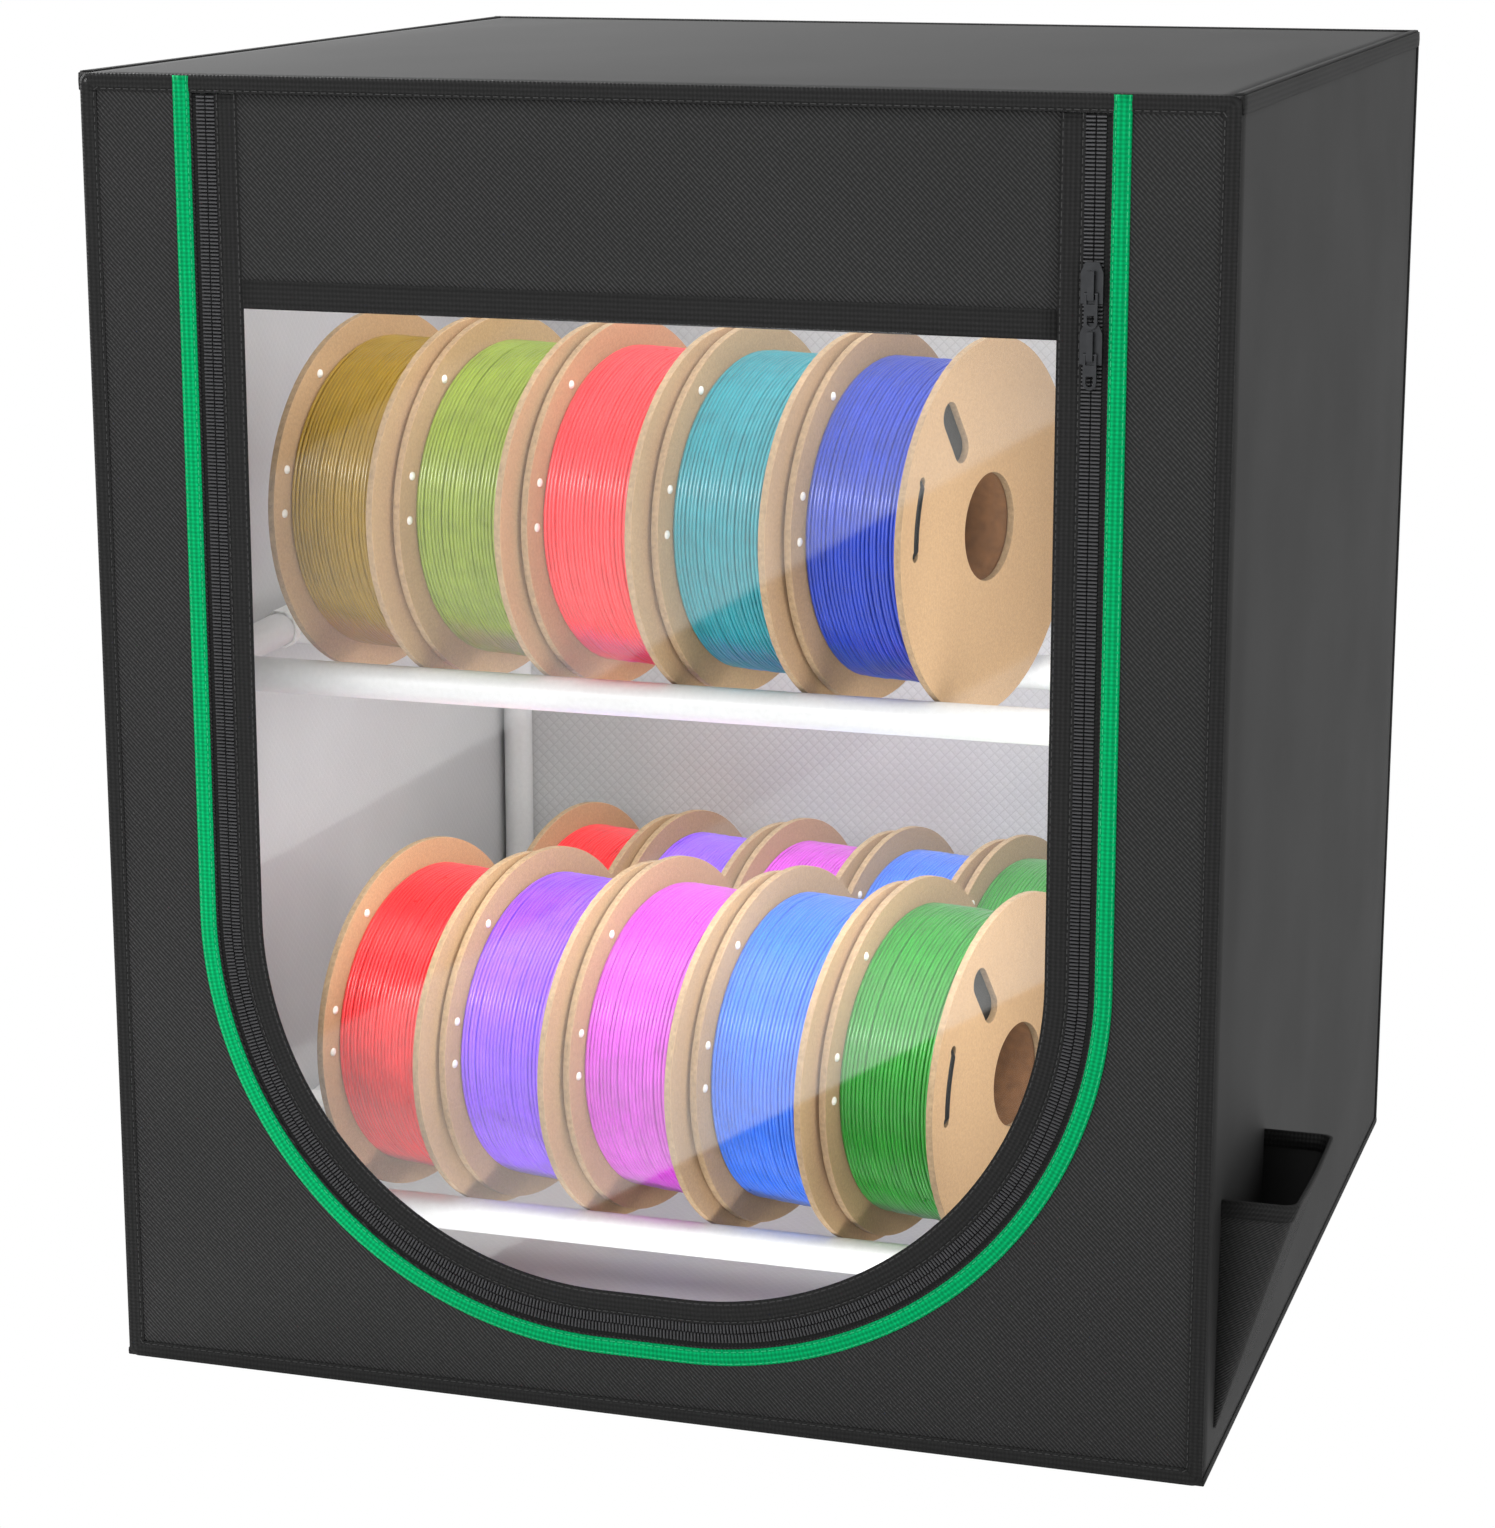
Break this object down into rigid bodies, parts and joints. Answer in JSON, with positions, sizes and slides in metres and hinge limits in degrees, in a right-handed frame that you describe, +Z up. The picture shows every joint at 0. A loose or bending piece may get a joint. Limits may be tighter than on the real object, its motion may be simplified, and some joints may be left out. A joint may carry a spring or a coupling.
{
  "type": "filament dryer box",
  "caption": "Soft-sided filament dry box: fabric cover on a tube frame, U-zipped door with clear window, two tiers of cradle tubes with spools",
  "frame": {"origin": "middle of the base, on the surface that the box stands on", "axes": "+X right seen from the front, +Y to the back, +Z up; the door faces -Y"},
  "size_m": [0.641, 0.6068, 0.7],
  "materials": {
    "tube": "white",
    "fitting": "moulded",
    "tape": "ribbed tape",
    "webbing": "woven",
    "zip_teeth": "coil",
    "zip_metal": "gun-metal",
    "window": "clear film",
    "cover_cloth": "coated cloth, pale inside",
    "filament_lower_1": "wound filament",
    "filament_lower_2": "wound filament",
    "filament_lower_3": "wound filament",
    "filament_lower_4": "wound filament",
    "filament_lower_5": "wound filament",
    "filament_upper_1": "wound filament",
    "filament_upper_2": "wound filament",
    "filament_upper_3": "wound filament",
    "filament_upper_4": "wound filament",
    "filament_upper_5": "wound filament"
  },
  "bodies": {
    "frame": {"back_panel": "cover_cloth", "base_corner_fittings": "fitting", "base_cradle_tees": "fitting", "base_cradle_tubes": "tube", "base_rails_depth": "tube", "base_rails_width": "tube", "door_webbing": "webbing", "floor_panel": "cover_cloth", "front_binding": "tape", "front_surround": "cover_cloth", "left_panel": "cover_cloth", "lower_cradle_tees": "fitting", "lower_cradle_tubes": "tube", "lower_post_tees": "fitting", "lower_side_rails": "tube", "post_back_left": "tube", "post_back_right": "tube", "post_front_left": "tube", "post_front_right": "tube", "right_panel": "cover_cloth", "roof_binding": "tape", "roof_panel": "cover_cloth", "side_pocket": "cover_cloth", "top_corner_fittings": "fitting", "top_rails_depth": "tube", "top_rails_width": "tube", "upper_cradle_tees": "fitting", "upper_cradle_tubes": "tube", "upper_post_tees": "fitting", "upper_side_rails": "tube", "zip_chain_surround": "zip_teeth", "zip_tape": "tape"},
    "door": {"zip_chain_door": "zip_teeth", "door_border": "tape", "door_valance": "cover_cloth", "door_hem_band": "tape", "door_window": "window"},
    "slider_upper": {"zip_slider_upper": "zip_metal"},
    "pull_upper": {"zip_pull_upper": "zip_metal"},
    "slider_lower": {"zip_slider_lower": "zip_metal"},
    "pull_lower": {"zip_pull_lower": "zip_metal"},
    "spool_lower_back_1": {"spool_lower_back_1": "filament_lower_1"},
    "spool_lower_back_2": {"spool_lower_back_2": "filament_lower_2"},
    "spool_lower_back_3": {"spool_lower_back_3": "filament_lower_3"},
    "spool_lower_back_4": {"spool_lower_back_4": "filament_lower_4"},
    "spool_lower_back_5": {"spool_lower_back_5": "filament_lower_5"},
    "spool_lower_front_1": {"spool_lower_front_1": "filament_lower_1"},
    "spool_lower_front_2": {"spool_lower_front_2": "filament_lower_2"},
    "spool_lower_front_3": {"spool_lower_front_3": "filament_lower_3"},
    "spool_lower_front_4": {"spool_lower_front_4": "filament_lower_4"},
    "spool_lower_front_5": {"spool_lower_front_5": "filament_lower_5"},
    "spool_upper_front_1": {"spool_upper_front_1": "filament_upper_1"},
    "spool_upper_front_2": {"spool_upper_front_2": "filament_upper_2"},
    "spool_upper_front_3": {"spool_upper_front_3": "filament_upper_3"},
    "spool_upper_front_4": {"spool_upper_front_4": "filament_upper_4"},
    "spool_upper_front_5": {"spool_upper_front_5": "filament_upper_5"}
  },
  "joints": [
    {"name": "door_swing", "type": "hinge", "parent": "frame", "child": "door", "pos_m": [0, -0.3015, 0.7005], "axis": [-1, 0, 0], "range_deg": [0, 230]},
    {"name": "slider_upper_run", "type": "slide", "parent": "door", "child": "slider_upper", "axis": [0, 0, 1], "range_m": [0, 0.06]},
    {"name": "pull_upper_swing", "type": "hinge", "parent": "slider_upper", "child": "pull_upper", "pos_m": [0.2305, -0.3036, 0.6054], "axis": [-1, 0, 0], "range_deg": [0, 110]},
    {"name": "slider_lower_run", "type": "slide", "parent": "door", "child": "slider_lower", "axis": [0, 0, 1], "range_m": [-0.28, 0]},
    {"name": "pull_lower_swing", "type": "hinge", "parent": "slider_lower", "child": "pull_lower", "pos_m": [0.2305, -0.3036, 0.5762], "axis": [-1, 0, 0], "range_deg": [0, 110]},
    {"name": "spool_lower_back_1_turn", "type": "hinge", "parent": "frame", "child": "spool_lower_back_1", "pos_m": [-0.174, 0.168, 0.1057], "axis": [0.9744, -0.225, 0], "continuous": true},
    {"name": "spool_lower_back_2_turn", "type": "hinge", "parent": "frame", "child": "spool_lower_back_2", "pos_m": [-0.102, 0.168, 0.1057], "axis": [0.9744, -0.225, 0], "continuous": true},
    {"name": "spool_lower_back_3_turn", "type": "hinge", "parent": "frame", "child": "spool_lower_back_3", "pos_m": [-0.03, 0.168, 0.1057], "axis": [0.9744, -0.225, 0], "continuous": true},
    {"name": "spool_lower_back_4_turn", "type": "hinge", "parent": "frame", "child": "spool_lower_back_4", "pos_m": [0.042, 0.168, 0.1057], "axis": [0.9744, -0.225, 0], "continuous": true},
    {"name": "spool_lower_back_5_turn", "type": "hinge", "parent": "frame", "child": "spool_lower_back_5", "pos_m": [0.114, 0.168, 0.1057], "axis": [0.9744, -0.225, 0], "continuous": true},
    {"name": "spool_lower_front_1_turn", "type": "hinge", "parent": "frame", "child": "spool_lower_front_1", "pos_m": [-0.154, -0.15, 0.1631], "axis": [0.9744, -0.225, 0], "continuous": true},
    {"name": "spool_lower_front_2_turn", "type": "hinge", "parent": "frame", "child": "spool_lower_front_2", "pos_m": [-0.082, -0.15, 0.1631], "axis": [0.9744, -0.225, 0], "continuous": true},
    {"name": "spool_lower_front_3_turn", "type": "hinge", "parent": "frame", "child": "spool_lower_front_3", "pos_m": [-0.01, -0.15, 0.1631], "axis": [0.9744, -0.225, 0], "continuous": true},
    {"name": "spool_lower_front_4_turn", "type": "hinge", "parent": "frame", "child": "spool_lower_front_4", "pos_m": [0.062, -0.15, 0.1631], "axis": [0.9744, -0.225, 0], "continuous": true},
    {"name": "spool_lower_front_5_turn", "type": "hinge", "parent": "frame", "child": "spool_lower_front_5", "pos_m": [0.134, -0.15, 0.1631], "axis": [0.9744, -0.225, 0], "continuous": true},
    {"name": "spool_upper_front_1_turn", "type": "hinge", "parent": "frame", "child": "spool_upper_front_1", "pos_m": [-0.174, -0.15, 0.4637], "axis": [0.9744, -0.225, 0], "continuous": true},
    {"name": "spool_upper_front_2_turn", "type": "hinge", "parent": "frame", "child": "spool_upper_front_2", "pos_m": [-0.102, -0.15, 0.4637], "axis": [0.9744, -0.225, 0], "continuous": true},
    {"name": "spool_upper_front_3_turn", "type": "hinge", "parent": "frame", "child": "spool_upper_front_3", "pos_m": [-0.03, -0.15, 0.4637], "axis": [0.9744, -0.225, 0], "continuous": true},
    {"name": "spool_upper_front_4_turn", "type": "hinge", "parent": "frame", "child": "spool_upper_front_4", "pos_m": [0.042, -0.15, 0.4637], "axis": [0.9744, -0.225, 0], "continuous": true},
    {"name": "spool_upper_front_5_turn", "type": "hinge", "parent": "frame", "child": "spool_upper_front_5", "pos_m": [0.114, -0.15, 0.4637], "axis": [0.9744, -0.225, 0], "continuous": true}
  ]
}
